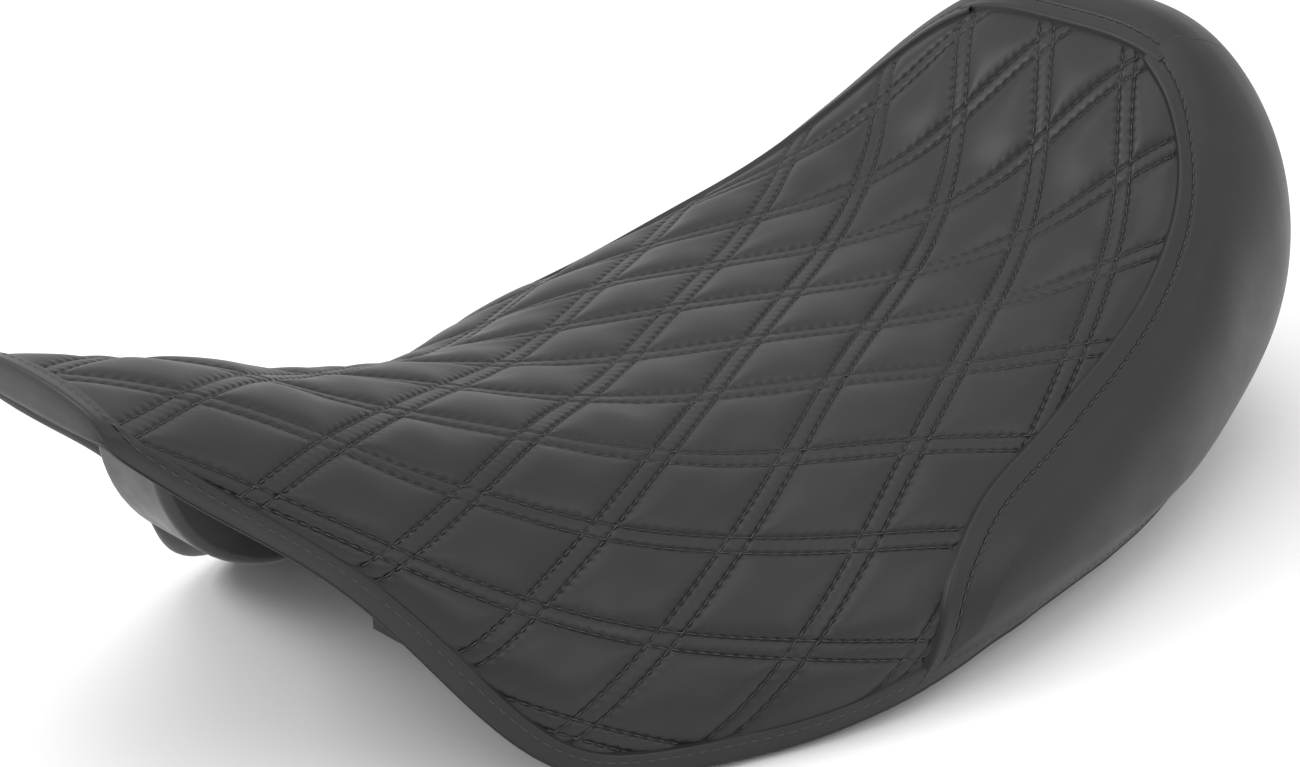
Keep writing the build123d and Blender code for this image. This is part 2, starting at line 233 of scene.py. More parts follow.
open_grid = symmetric(np.array([evenly(half_section(x), ACROSS)
                                for x in np.linspace(NOSE_X, TAIL_X, SECTIONS)]))
grid = with_closed_tail(open_grid)
ROWS = len(grid)
section_length = np.linalg.norm(np.diff(grid, axis=1), axis=2).sum(axis=1)
crown_run = run_of(grid[:, 0])
closing_run = open_grid[-1, :, 1].max() / CLOSING
crown_run[SECTIONS:] = crown_run[SECTIONS - 1] + closing_run * np.arange(1, CLOSING + 1)
lattice_row = np.interp(-LATTICE_X, -grid[:, 0, 0], np.arange(ROWS))
lattice_run = np.interp(lattice_row, np.arange(ROWS), crown_run)


def row_of(s):
    """Row number in the grid of a lattice coordinate along the seat."""
    run = lattice_run + (np.asarray(s, float) - LATTICE_AT) * LONG_STEP
    return np.interp(run, crown_run, np.arange(ROWS))


def on_grid(row, across):
    """Point of the cover at a row number and a distance from the centreline along the section."""
    row = np.clip(row, 0, ROWS - 1.001)
    length = np.interp(row, np.arange(ROWS), section_length)
    side = np.where(np.asarray(across) < 0, -1.0, 1.0)
    column = np.clip(np.abs(across) / length, 0, 1) * (ACROSS - 1.001)
    r0, c0 = row.astype(int), column.astype(int)
    fr, fc = (row - r0)[..., None], (column - c0)[..., None]
    point = ((1 - fr) * (1 - fc) * grid[r0, c0] + fr * (1 - fc) * grid[r0 + 1, c0]
             + (1 - fr) * fc * grid[r0, c0 + 1] + fr * fc * grid[r0 + 1, c0 + 1])
    point = point.copy()
    point[..., 1] *= side
    return point


def surface(s, t):
    """Cover point and its outward normal at lattice coordinates."""
    s, t = np.asarray(s, float), np.asarray(t, float)
    row, across = row_of(s), t * SIDE_STEP
    point = on_grid(row, across)
    along = on_grid(row + 1.2, across) - on_grid(row - 1.2, across)
    aside = on_grid(row, across + 2 * MM) - on_grid(row, across - 2 * MM)
    return point, unit(np.cross(aside, along))


# ---------------------------------------------------------------- plan of the cover: edge and seam
# Every plan point is (distance from the nose along the centreline run, distance across the section).
def plan_of(row, across):
    """Plan point of a row number and a distance across the section."""
    return np.stack([np.interp(row, np.arange(ROWS), crown_run), np.asarray(across, float)], axis=-1)


def plan_surface(plan):
    """Cover point and normal at plan points."""
    s = LATTICE_AT + (plan[..., 0] - lattice_run) / LONG_STEP
    return surface(s, plan[..., 1] / SIDE_STEP)


def full_line(half):
    """A line from the left half, which ends on the centreline, and its mirror image."""
    return np.concatenate([half, (half * [1, -1])[-2::-1]])


def row_at_x(x):
    """Row number whose crown is at x."""
    return np.interp(-np.asarray(x, float), -grid[:, 0, 0], np.arange(ROWS))


left_edge = plan_of(np.arange(ROWS), section_length - 0.3 * MM)
nose_edge = np.stack([np.zeros(30), np.linspace(0, left_edge[0, 1], 30)], axis=1)
edge_half = spaced(np.concatenate([nose_edge[:-1], left_edge]), 1.5 * MM)
edge_line = smooth(np.concatenate([edge_half[::-1], (edge_half * [1, -1])[1:]]), 5.0, axis=0, mode="line")
edge_line = spaced(edge_line, 2.0 * MM)      # tail, left side, nose, right side, tail
edge_line[:, 1] = 0.5 * (edge_line[:, 1] - edge_line[::-1, 1])
edge_line[:, 0] = 0.5 * (edge_line[:, 0] + edge_line[::-1, 0])
tail_line = np.stack([np.full(60, edge_line[0, 0]),
                      np.linspace(edge_line[-1, 1], edge_line[0, 1], 60)], axis=1)


def seam_across(x, y):
    """Distance across the section of the cover point above a plan point (x, y)."""
    hit = cover_tree.ray_cast(Vector((x, y, REACH)), Vector((0, 0, -1)), 2 * REACH)[0]
    row = float(row_at_x(x))
    r = min(int(round(row)), ROWS - 1)
    line = grid[r]
    run = run_of(line)
    if hit is None:
        return run[-1]
    nearest = np.argmin(np.linalg.norm(line[:, 1:] - np.array([hit.y, hit.z]), axis=1))
    return run[nearest]


def catmull(points, count):
    """Evenly spaced points on a smooth line through a few points."""
    padded = np.concatenate([[2 * points[0] - points[1]], points, [2 * points[-1] - points[-2]]])
    line = [between(*padded[i - 1:i + 3], f) for i in range(1, len(padded) - 2)
            for f in np.linspace(0, 1, 24, endpoint=False)]
    return evenly(np.array(line + [points[-1]]), count)


seam_xy = catmull(np.array(SEAM_PLAN, float) * MM, 160)
seam_half = np.array([plan_of(row_at_x(x), seam_across(x, y)) for x, y in seam_xy])
seam_half = smooth(seam_half, 3.0, axis=0, mode="line")
seam_line = spaced(full_line(seam_half), 2.0 * MM)


BLOCK = 4000


def distance_to(plan, line):
    """Distance of plan points from a line of short steps, worked out in blocks to save memory."""
    flat = plan.reshape(-1, 2)
    nearest = [np.linalg.norm(flat[i:i + BLOCK, None] - line[None], axis=2).min(axis=1)
               for i in range(0, len(flat), BLOCK)]
    return np.concatenate(nearest).reshape(plan.shape[:-1])


def inside(plan, polygon):
    """True for plan points inside a closed polygon."""
    x, y = plan[..., 0], plan[..., 1]
    result = np.zeros(x.shape, bool)
    for (x0, y0), (x1, y1) in zip(polygon, np.roll(polygon, -1, axis=0)):
        crosses = (y0 > y) != (y1 > y)
        if y1 != y0:
            result ^= crosses & (x < (x1 - x0) * (y - y0) / (y1 - y0) + x0)
    return result


foot_left = np.argmin(np.linalg.norm(edge_line - seam_line[0], axis=1))
foot_right = np.argmin(np.linalg.norm(edge_line - seam_line[-1], axis=1))
first_foot, last_foot = sorted((foot_left, foot_right))
front_edge = edge_line[first_foot:last_foot + 1]
if np.linalg.norm(front_edge[0] - seam_line[0]) > np.linalg.norm(front_edge[-1] - seam_line[0]):
    front_edge = front_edge[::-1]
quilt_polygon = np.concatenate([front_edge, seam_line[::-1]])


# ---------------------------------------------------------------- small helpers
def make_object(name, verts, faces, smooth_shading=True):
    """A new mesh object in the scene."""
    mesh = bpy.data.meshes.new(name)
    mesh.from_pydata([tuple(v) for v in verts], [], [tuple(int(i) for i in f) for f in faces])
    mesh.update()
    if smooth_shading:
        mesh.shade_smooth()
    obj = bpy.data.objects.new(name, mesh)
    bpy.context.scene.collection.objects.link(obj)
    return obj


def add_attribute(obj, name, values):
    """Store one number per vertex for the materials."""
    data = obj.data.attributes.new(name, "FLOAT", "POINT").data
    data.foreach_set("value", np.asarray(values, np.float32).ravel())


def ramp(value, low, high):
    """A soft step from 0 at low to 1 at high."""
    f = np.clip((value - low) / (high - low), 0, 1)
    return f * f * (3 - 2 * f)


def grid_faces(rows, columns, keep=None):
    """Quads of a grid of rows times columns vertices, limited to the cells that keep allows."""
    r, c = np.meshgrid(np.arange(rows - 1), np.arange(columns - 1), indexing="ij")
    a = r * columns + c
    quads = np.stack([a, a + 1, a + columns + 1, a + columns], axis=-1)
    return quads.reshape(-1, 4) if keep is None else quads[keep]


def without_loose(verts, faces):
    """Verts that the faces use, the faces renumbered, and the old numbers."""
    used = np.unique(faces)
    renumber = np.full(len(verts), -1)
    renumber[used] = np.arange(len(used))
    return verts[used], renumber[faces], used


# ---------------------------------------------------------------- the quilt
I_LOW, I_HIGH = -3, 9           # lattice lines that reach the quilt
J_LOW, J_HIGH = -1, 11
CLOTH_STEPS = 12                # cloth cells along one lattice step
CLOTH_FRAMES = 20
CLOTH_SCALE = 10.0              # the solver is steadier on a larger model
GROOVE_WIDTH = 0.85 * MM
SHOULDER = 0.9 * MM             # rise from a stitch row to the diamond beside it
SHOULDER_WIDTH = 3.2 * MM
BAND = 0.35 * MM                # rise between the twin rows
UNDER_STRIP = 3.2 * MM          # how far the quilt runs on under its edge strip and the border


def lattice_plan(i, j):
    """Plan point of the lattice coordinates i and j, whole on the two families of lines."""
    s, t = (i + j) / 2, (i - j) / 2 + 1
    return np.stack([lattice_run + (s - LATTICE_AT) * LONG_STEP, t * SIDE_STEP], axis=-1)


def cloth_puffs(steps):
    """Height of the stuffed diamonds on a regular lattice from a cloth simulation, and their usual top."""
    i = np.linspace(I_LOW, I_HIGH, (I_HIGH - I_LOW) * steps + 1)
    j = np.linspace(J_LOW, J_HIGH, (J_HIGH - J_LOW) * steps + 1)
    jj, ii = np.meshgrid(j, i)
    plan = lattice_plan(ii, jj)
    point, normal = plan_surface(plan)
    allowed = inside(plan, quilt_polygon)
    edge_gap = distance_to(plan, quilt_polygon)
    cell = allowed[:-1, :-1] & allowed[1:, :-1] & allowed[:-1, 1:] & allowed[1:, 1:]
    verts, faces, used = without_loose(point.reshape(-1, 3), grid_faces(len(i), len(j), cell))
    free_i = np.abs(ii - np.round(ii)).ravel()[used]
    free_j = np.abs(jj - np.round(jj)).ravel()[used]
    held = (np.minimum(free_i, free_j) < ROW + 0.002) | (edge_gap.ravel()[used] < 7 * MM)
    obj = make_object("cloth_blank", verts * CLOTH_SCALE, faces)
    if np.dot(np.array(obj.data.polygons[0].normal), normal.reshape(-1, 3)[used][faces[0][0]]) < 0:
        obj.data.flip_normals()
    group = obj.vertex_groups.new(name="stitched")
    group.add([int(k) for k in np.nonzero(held)[0]], 1.0, "REPLACE")
    mod = obj.modifiers.new("cloth", "CLOTH")
    cloth = mod.settings
    cloth.quality = 6
    cloth.mass = 0.4
    cloth.vertex_group_mass = "stitched"
    cloth.pin_stiffness = 1.0
    cloth.use_pressure = True
    cloth.uniform_pressure_force = 4.0
    cloth.shrink_min = -0.012
    cloth.tension_stiffness = cloth.compression_stiffness = 25
    cloth.shear_stiffness = 12
    cloth.bending_stiffness = 14.0
    cloth.effector_weights.gravity = 0
    mod.collision_settings.use_collision = False
    mod.point_cache.frame_start, mod.point_cache.frame_end = 1, CLOTH_FRAMES
    for number in range(1, CLOTH_FRAMES + 1):
        bpy.context.scene.frame_set(number)
    graph = bpy.context.evaluated_depsgraph_get()
    shaped = obj.evaluated_get(graph).data
    moved = np.empty(len(verts) * 3)
    shaped.vertices.foreach_get("co", moved)
    moved = moved.reshape(-1, 3) / CLOTH_SCALE
    height = ((moved - verts) * normal.reshape(-1, 3)[used]).sum(axis=1)
    bpy.context.scene.frame_set(1)
    bpy.data.objects.remove(obj, do_unlink=True)
    field = np.zeros(ii.size)
    field[used] = np.clip(height, 0, None)
    return i, j, field.reshape(ii.shape), np.percentile(height[~held], 97)


def catmull_weights(places, knots):
    """Matrix that reads a field on evenly spaced knots at places, with a smooth kernel."""
    step = knots[1] - knots[0]
    at = np.clip((places - knots[0]) / step, 0, len(knots) - 1.0001)
    base = at.astype(int)
    f = at - base
    weights = np.zeros((len(places), len(knots)))
    parts = [-0.5 * f + f ** 2 - 0.5 * f ** 3, 1 - 2.5 * f ** 2 + 1.5 * f ** 3,
             0.5 * f + 2 * f ** 2 - 1.5 * f ** 3, -0.5 * f ** 2 + 0.5 * f ** 3]
    for k, part in enumerate(parts):
        np.add.at(weights, (np.arange(len(places)), np.clip(base + k - 1, 0, len(knots) - 1)), part)
    return weights


def quilt_samples(low, high):
    """Lattice values along one direction, close together at the stitch rows."""
    half = [0, 0.03, 0.055, 0.068, 0.076, ROW, 0.091, 0.1, 0.115, 0.14, 0.175, 0.215, 0.26, 0.31,
            0.36, 0.41, 0.455]
    unit = sorted({round(v, 5) for h in half for v in (h, -h)} | {0.5})
    return np.array([n + v for n in range(low, high + 1) for v in unit if low <= n + v <= high])


def puff_height(i, j):
    knots_i, knots_j, field, top = cloth_puffs(CLOTH_STEPS)
    field = np.minimum(field * (PUFF / top), 1.12 * PUFF)
    field = smooth(smooth(field, 0.8, axis=0), 0.8, axis=1)
    return catmull_weights(i, knots_i) @ field @ catmull_weights(j, knots_j).T


def build_quilt():
    """The stitched panel: diamonds, the flat bands between twin rows, and the stitch grooves."""
    i, j = quilt_samples(I_LOW, I_HIGH), quilt_samples(J_LOW, J_HIGH)
    jj, ii = np.meshgrid(j, i)
    plan = lattice_plan(ii, jj)
    gap = distance_to(plan, quilt_polygon)
    inset = np.where(inside(plan, quilt_polygon), gap, -gap)
    point, normal = plan_surface(plan)
    off_i, off_j = np.abs(ii - np.round(ii)), np.abs(jj - np.round(jj))
    height = puff_height(i, j) * ramp(inset, PUFF_FROM, PUFF_FULL)
    row_i, row_j = np.abs(off_i - ROW) * LINE_GAP, np.abs(off_j - ROW) * LINE_GAP
    nearest = np.minimum(row_i, row_j)
    groove = GROOVE * np.exp(-(nearest / GROOVE_WIDTH) ** 2)
    shoulder = SHOULDER * (1 - np.exp(-(nearest / SHOULDER_WIDTH) ** 2)) * ramp(inset, 1 * MM, 8 * MM)
    line = np.minimum(off_i, off_j)
    shoulder = np.where(line < ROW, BAND * np.cos(0.5 * np.pi * line / ROW), shoulder)
    point = point + normal * (height + shoulder - groove - SINK)[..., None]
    used_point = inset > -UNDER_STRIP
    keep = used_point[:-1, :-1] & used_point[1:, :-1] & used_point[:-1, 1:] & used_point[1:, 1:]
    verts, faces, used = without_loose(point.reshape(-1, 3), grid_faces(len(i), len(j), keep))
    obj = make_object("quilt", verts, faces)
    if obj.data.polygons[len(faces) // 2].normal.z < 0:
        obj.data.flip_normals()
    add_attribute(obj, "line_i", ii.ravel()[used])
    add_attribute(obj, "line_j", jj.ravel()[used])
    return obj


quilt = build_quilt()


# ---------------------------------------------------------------- strips swept along a line of the plan
BORDER_COUNT = 520              # points along the border seam
STRIP_COUNT = 900               # points along the edge strip
END_X = 200 * MM                # past this the edge turns across the seat


def frame_left(line):
    """Unit steps to the left of a plan line."""
    along = unit(np.gradient(smooth(line, 2.0, mode="line"), axis=0))
    return np.stack([-along[:, 1], along[:, 0]], axis=1)


def border_edge():
    """The edge line behind the seam's feet, in the direction of the seam."""
    order = np.concatenate([edge_line[last_foot:-1], tail_line, edge_line[1:first_foot + 1]])
    if np.linalg.norm(order[0] - seam_line[0]) > np.linalg.norm(order[-1] - seam_line[0]):
        order = order[::-1]
    return smooth(evenly(order, BORDER_COUNT), 3.0, mode="line")


def build_border():
    """The plain border behind the quilt: folded edge, topstitched band and the padded rear."""
    seam, edge = evenly(seam_line, BORDER_COUNT), border_edge()
    gap = np.linalg.norm(edge - seam, axis=1)
    out = (edge - seam) / (gap[:, None] + 1e-9)
    left = frame_left(seam)
    away = left * np.sign((left * out).sum(axis=1, keepdims=True))
    blend = ramp(gap, 10 * MM, 50 * MM)[:, None]
    start = smooth(away * blend + out * (1 - blend), 6.0, mode="line")
    # rows close together over the fold and the topstitch, then evenly to the edge
    near = np.array([-1.6, -0.6, 0, 0.35, 0.8, 1.4, 2.2, 3.2, 4.6, 6.2, 7.4, 8.1, 8.6, 9.0, 9.4, 9.9,
                     10.6, 12, 14, 17, 20]) * MM
    far = np.linspace(0, 1, 74)[1:]
    rows = [seam + start * np.minimum(d, 0.5 * gap[:, None]) for d in near]
    base = rows[-1]
    rows += [base + (edge - base) * f for f in far]
    point, normal = plan_surface(np.array(rows))
    point = smooth(point, 1.5, axis=1, mode="line")
    d = np.concatenate([near[:, None] + 0 * gap, near[-1] + far[:, None] * gap])
    fold = LAP * np.interp(d / MM, [-1.6, -0.6, 0, 0.35, 0.8, 1.4, 2.2, 3.2, 4.6, 6.2],
                           [-0.9, -0.5, 0.1, 0.55, 0.85, 1.0, 1.02, 0.95, 0.85, 0.8])
    stitch = TOPSTITCH_DIP * np.exp(-((d - TOPSTITCH) / TOPSTITCH_DIP) ** 2)
    swell = SWELL * ramp(d, TOPSTITCH, TOPSTITCH + 16 * MM) * (1 - ramp(d, gap - 26 * MM, gap))
    point = point + normal * (fold - stitch + swell)[..., None]
    faces = grid_faces(len(rows), BORDER_COUNT)
    obj = make_object("border", point.reshape(-1, 3), faces)
    if obj.data.polygons[len(faces) // 2].normal.z < 0:
        obj.data.flip_normals()
    return obj, seam, start


border, border_seam, border_out = build_border()


def toward_middle(line):
    """Unit plan steps from a line towards the middle of the cover."""
    left = frame_left(line)
    middle = np.array([lattice_run, 0])
    left = left * np.sign((left * (middle - line)).sum(axis=1, keepdims=True))
    return unit(smooth(left, 6.0, mode="line"))


def smooth_surface(plan):
    """Smoothed cover points and normals along a plan line."""
    point, normal = plan_surface(plan)
    return smooth(point, 2.0, mode="line"), unit(smooth(normal, 4.0, mode="line"))


def under_pan(point, normal):
    """Level unit steps from the edge to the inside of the pan."""
    level = -normal * [1, 1, 0]
    flat = np.linalg.norm(level, axis=1, keepdims=True)
    x, y = point[:, 0], point[:, 1]
    to_centre = unit(np.stack([np.where(np.abs(x) > END_X, -x, 0), -y, 0 * x], axis=1))
    level = np.where(flat > 0.5, level / (flat + 1e-9), to_centre)
    return unit(smooth(level, 8.0, mode="line"))


def strip_rings(edge, left):
    """Lines along the edge strip: tucked in the hem seam, over the hem, down and under the pan."""
    point, normal = smooth_surface(edge)
    top, top_normal = smooth_surface(edge + left * HEM)
    mid, mid_normal = smooth_surface(edge + left * HEM * 0.5)
    rise = top - mid
    fall = np.array([0, 0, -1.0])
    inward = under_pan(point, normal)
    # the front of the nose drops to the underside; elsewhere the strip turns under at once
    front = ramp(point[:, 0], NOSE_FROM, NOSE_FULL)
    nose_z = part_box("nose_facing")[0].z + 1.5 * MM
    drop = fall * (front * np.clip(point[:, 2] - nose_z, 0, 14 * MM))[:, None]
    bottom = point + drop
    # the turn-in is narrower round the tail, clear of the screw's knob
    turn = inward * (SKIRT * (1 - TAIL_NARROWER * ramp(-point[:, 0], TAIL_FROM, TAIL_FULL)))[:, None]
    rings = [top - top_normal * 1.2 * MM + rise * 0.25,
             top + top_normal * 0.1 * MM + rise * 0.08,
             top + top_normal * 0.9 * MM,
             top + top_normal * 1.35 * MM - rise * 0.2,
             0.5 * (top + mid) + top_normal * 1.35 * MM,
             mid + mid_normal * 1.45 * MM,
             0.5 * (point + mid) + normal * 1.7 * MM,
             point + normal * 1.9 * MM,
             point + normal * 1.6 * MM + unit(point - mid) * 1.2 * MM * front[:, None] + fall * 0.6 * MM]
    rings += [point + drop * f - inward * 1.7 * MM + fall * (0.8 + f) * MM for f in (0.3, 0.65, 1.0)]
    rings += [bottom - inward * 0.8 * MM + fall * 2.6 * MM,
              bottom + inward * 0.8 * MM + fall * 2.9 * MM,
              bottom + turn * 0.2 + fall * 2.2 * MM,
              bottom + turn * 0.5 + fall * 0.4 * MM,
              bottom + turn * 0.95 - fall * 1.0 * MM,
              bottom + turn - fall * 2.2 * MM]
    return np.array(rings)


def build_edge_strip():
    """The strip sewn round the lower edge, turned under the pan."""
    edge = evenly(edge_line, STRIP_COUNT)
    left = toward_middle(edge)
    rings = strip_rings(edge, left)
    rings[..., 2] = np.maximum(rings[..., 2], 0.2 * MM)
    # the tail stays clear of the screw's knob when that is lifted
    rings[..., 0] = np.maximum(rings[..., 0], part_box("thumb_screw")[1].x + KNOB_GAP)
    # twice as many rings, on a smooth profile through these
    last = len(rings) - 1
    fine = [between(rings[max(i - 1, 0)], rings[i], rings[i + 1], rings[min(i + 2, last)], f)
            for i in range(last) for f in (0, 0.5)]
    fine = smooth(np.array(fine + [rings[-1]]), 1.2, axis=1, mode="line")
    obj = make_object("edge_strip", fine.reshape(-1, 3), grid_faces(len(fine), STRIP_COUNT))
    return obj, edge, left


edge_strip, strip_edge, strip_left = build_edge_strip()


# ---------------------------------------------------------------- thread
def thread_piece(name, places, directions, normals):
    """Short stitches of thread, each a bent capsule half sunk in the cover."""
    places, directions, normals = (np.asarray(a, float) for a in (places, directions, normals))
    directions = directions / np.linalg.norm(directions, axis=1, keepdims=True)
    normals = normals - directions * (normals * directions).sum(axis=1, keepdims=True)
    normals /= np.linalg.norm(normals, axis=1, keepdims=True)
    sides = np.cross(directions, normals)
    sections = [(-0.5, 0.25, -0.9), (-0.42, 0.8, -0.25), (-0.2, 1.0, 0.1), (0.0, 1.02, 0.18),
                (0.2, 1.0, 0.1), (0.42, 0.8, -0.25), (0.5, 0.25, -0.9)]
    around = 6
    verts = []
    for at, size, rise in sections:
        for k in range(around):
            angle = 2 * math.pi * k / around
            offset = (directions * at * STITCH_LENGTH
                      + normals * THREAD_R * (rise + size * math.sin(angle))
                      + sides * THREAD_R * size * math.cos(angle))
            verts.append(places + offset)
    verts = np.stack(verts, axis=1)
    per = verts.shape[1]
    faces = []
    for r in range(len(sections) - 1):
        for k in range(around):
            a, b = r * around + k, r * around + (k + 1) % around
            faces.append((a, b, b + around, a + around))
    faces = np.array(faces)
    every = (np.arange(len(verts))[:, None, None] * per + faces[None]).reshape(-1, 4)
    return make_object(name, verts.reshape(-1, 3), every)


def row_plan(level, values, first):
    """Plan points along one stitch row: i stays at level when first is true, else j does."""
    fixed = np.full_like(values, level)
    return lattice_plan(fixed, values) if first else lattice_plan(values, fixed)


def row_stitches(level, low, high, first):
    """Places, directions and normals of the stitches on one row, or None for a row off the quilt."""
    values = np.arange(low, high, 0.01)
    plan = row_plan(level, values, first)
    if inside(plan, quilt_polygon).sum() < 8:
        return None
    run = run_of(plan_surface(plan)[0])
    values = np.interp(np.arange(0.5 * STITCH, run[-1], STITCH), run, values)
    plan = row_plan(level, values, first)
    gap = distance_to(plan, quilt_polygon)
    use = inside(plan, quilt_polygon) & (gap > 1.5 * MM)
    if not use.any():
        return None
    place, normal = plan_surface(plan)
    ahead, _ = plan_surface(row_plan(level, values + 0.02, first))
    lift = -GROOVE - SINK + 0.30 * MM
    return (place + normal * lift)[use], (ahead - place)[use], normal[use]


def quilt_stitches():
    """The stitches along the twin rows of both families of lines."""
    i_range, j_range = (I_LOW, I_HIGH), (J_LOW, J_HIGH)
    found = []
    for (low, high), other, first in ((i_range, j_range, True), (j_range, i_range, False)):
        for number in range(low, high + 1):
            found += [row_stitches(number + side, *other, first) for side in (-ROW, ROW)]
    return [np.concatenate(column) for column in zip(*(row for row in found if row is not None))]


def line_stitches(line, lift):
    """Stitches along a plan line."""
    run = run_of(plan_surface(line)[0])
    places = np.arange(0.5 * STITCH, run[-1], STITCH)
    place, normal = plan_surface(at_run(line, places, run))
    further, _ = plan_surface(at_run(line, places + 0.5 * MM, run))
    direction = further - place
    good = np.linalg.norm(direction, axis=1) > 1e-6
    return (place + normal * lift)[good], direction[good], normal[good]


quilt_thread = thread_piece("quilt_thread", *quilt_stitches())
topstitch_plan = smooth(border_seam + border_out * TOPSTITCH, 2.0, mode="line")
border_thread = thread_piece("border_thread", *line_stitches(topstitch_plan, 0.8 * LAP - 0.45 * MM))
hem_plan = strip_edge + strip_left * (HEM - 2.6 * MM)
hem_thread = thread_piece("hem_thread", *line_stitches(hem_plan, 1.15 * MM))


# ---------------------------------------------------------------- materials
class Shader:
    """A small wrapper that builds a procedural material node by node."""

    def __init__(self, name):
        self.material = bpy.data.materials.new(name)
        self.material.use_nodes = True
        self.nodes = self.material.node_tree.nodes
        self.links = self.material.node_tree.links
        self.bsdf = self.nodes["Principled BSDF"]
        self.place = self.nodes.new("ShaderNodeTexCoord").outputs["Object"]

    def join(self, value, socket):
        if isinstance(value, bpy.types.NodeSocket):
            self.links.new(value, socket)
        else:
            socket.default_value = value

    def math(self, operation, a, b=0.0, c=0.0):
        node = self.nodes.new("ShaderNodeMath")
        node.operation = operation
        for value, socket in zip((a, b, c), node.inputs):
            self.join(value, socket)
        return node.outputs[0]

    def attribute(self, name):
        node = self.nodes.new("ShaderNodeAttribute")
        node.attribute_name = name
        return node.outputs["Fac"]

    def noise(self, scale, detail=4.0, rough=0.55, stretch=None):
        node = self.nodes.new("ShaderNodeTexNoise")
        node.inputs["Scale"].default_value = scale
        node.inputs["Detail"].default_value = detail
        node.inputs["Roughness"].default_value = rough
        place = self.place
        if stretch:
            mapping = self.nodes.new("ShaderNodeMapping")
            mapping.inputs["Scale"].default_value = stretch
            self.links.new(self.place, mapping.inputs["Vector"])
            place = mapping.outputs[0]
        self.links.new(place, node.inputs["Vector"])
        return node.outputs["Fac"]

    def cells(self, scale):
        node = self.nodes.new("ShaderNodeTexVoronoi")
        node.inputs["Scale"].default_value = scale
        self.links.new(self.place, node.inputs["Vector"])
        return node.outputs["Distance"]

    def span(self, value, low, high, out_low, out_high):
        node = self.nodes.new("ShaderNodeMapRange")
        self.join(value, node.inputs["Value"])
        for socket, number in zip(list(node.inputs)[1:5], (low, high, out_low, out_high)):
            self.join(number, socket)
        return node.outputs[0]

    def colours(self, factor, dark, light):
        node = self.nodes.new("ShaderNodeMix")
        node.data_type = "RGBA"
        self.join(factor, node.inputs[0])
        node.inputs[6].default_value = (*dark, 1)
        node.inputs[7].default_value = (*light, 1)
        return node.outputs[2]

    def bump(self, height, strength, distance, after=None):
        node = self.nodes.new("ShaderNodeBump")
        node.inputs["Strength"].default_value = strength
        node.inputs["Distance"].default_value = distance
        self.links.new(height, node.inputs["Height"])
        if after is not None:
            self.links.new(after, node.inputs["Normal"])
        return node.outputs[0]

    def finish(self, colour, rough, normal=None, **constants):
        self.join(colour if isinstance(colour, bpy.types.NodeSocket) else (*colour, 1),
                  self.bsdf.inputs["Base Color"])
        self.join(rough, self.bsdf.inputs["Roughness"])
        if normal is not None:
            self.links.new(normal, self.bsdf.inputs["Normal"])
        for name, value in constants.items():
            self.bsdf.inputs[name.replace("_", " ")].default_value = value
        return self.material


def paint(obj, material):
    """Give a piece its material and slot, and let it ride with the seat."""
    obj.data.materials.append(material)
    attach(obj, BODY)


def vinyl(name, dark, light, stitched=False):
    """Upholstery vinyl: fine pebble grain, slight shade changes and creases beside the stitches."""
    m = Shader(name)
    grain = m.cells(900)
    pores = m.noise(1500, 2.0)
    shade = m.noise(14, 5.0, 0.6)
    height = m.math("ADD", m.math("MULTIPLY", grain, 0.7), m.math("MULTIPLY", pores, 0.4))
    normal = m.bump(height, 0.16, 0.00025)
    normal = m.bump(m.noise(55, 3.0), 0.10, 0.0011, normal)
    if stitched:
        for first, second in (("line_i", "line_j"), ("line_j", "line_i")):
            line = m.attribute(first)
            off = m.math("ABSOLUTE", m.math("SUBTRACT", line, m.math("ROUND", line)))
            from_row = m.math("MULTIPLY", m.math("ABSOLUTE", m.math("SUBTRACT", off, ROW)), LINE_GAP)
            near = m.span(from_row, 0.0, 0.0042, 1.0, 0.0)
            beat = m.math("SINE", m.math("MULTIPLY", m.attribute(second), 2 * math.pi * SIDE / STITCH))
            pucker = m.math("MULTIPLY", m.math("MULTIPLY", near, near), beat)
            normal = m.bump(pucker, 0.45, 0.0006, normal)
    colour = m.colours(m.span(shade, 0.3, 0.7, 0, 1), dark, light)
    rough = m.span(m.noise(30, 4.0), 0.3, 0.7, 0.40, 0.50)
    return m.finish(colour, rough, normal, Specular_IOR_Level=0.38, Sheen_Weight=0.05, Sheen_Roughness=0.4)


VINYL_DARK, VINYL_LIGHT = (0.0105, 0.0108, 0.011), (0.015, 0.0153, 0.0155)
quilt_vinyl = vinyl("quilt_vinyl_look", VINYL_DARK, VINYL_LIGHT, stitched=True)
border_vinyl = vinyl("border_vinyl_look", (0.0085, 0.0087, 0.0088), (0.0122, 0.0124, 0.0125))
strip_vinyl = vinyl("strip_vinyl_look", (0.011, 0.0112, 0.0114), (0.016, 0.0162, 0.0164))

thread = Shader("thread_look")
twist = thread.noise(2600, 2.0)
thread_look = thread.finish(thread.colours(twist, (0.010, 0.010, 0.011), (0.024, 0.024, 0.026)), 0.42,
                            thread.bump(twist, 0.4, 0.0002), Specular_IOR_Level=0.6)


def moulded(name, dark, light, rough_low, rough_high, grain=1400.0, depth=0.0002, **constants):
    """Moulded plastic, rubber or powder coat with a fine grain."""
    m = Shader(name)
    fine = m.noise(grain, 3.0)
    return m.finish(m.colours(m.noise(25, 4.0), dark, light),
                    m.span(m.noise(60, 4.0), 0.3, 0.7, rough_low, rough_high),
                    m.bump(fine, 0.3, depth), **constants)


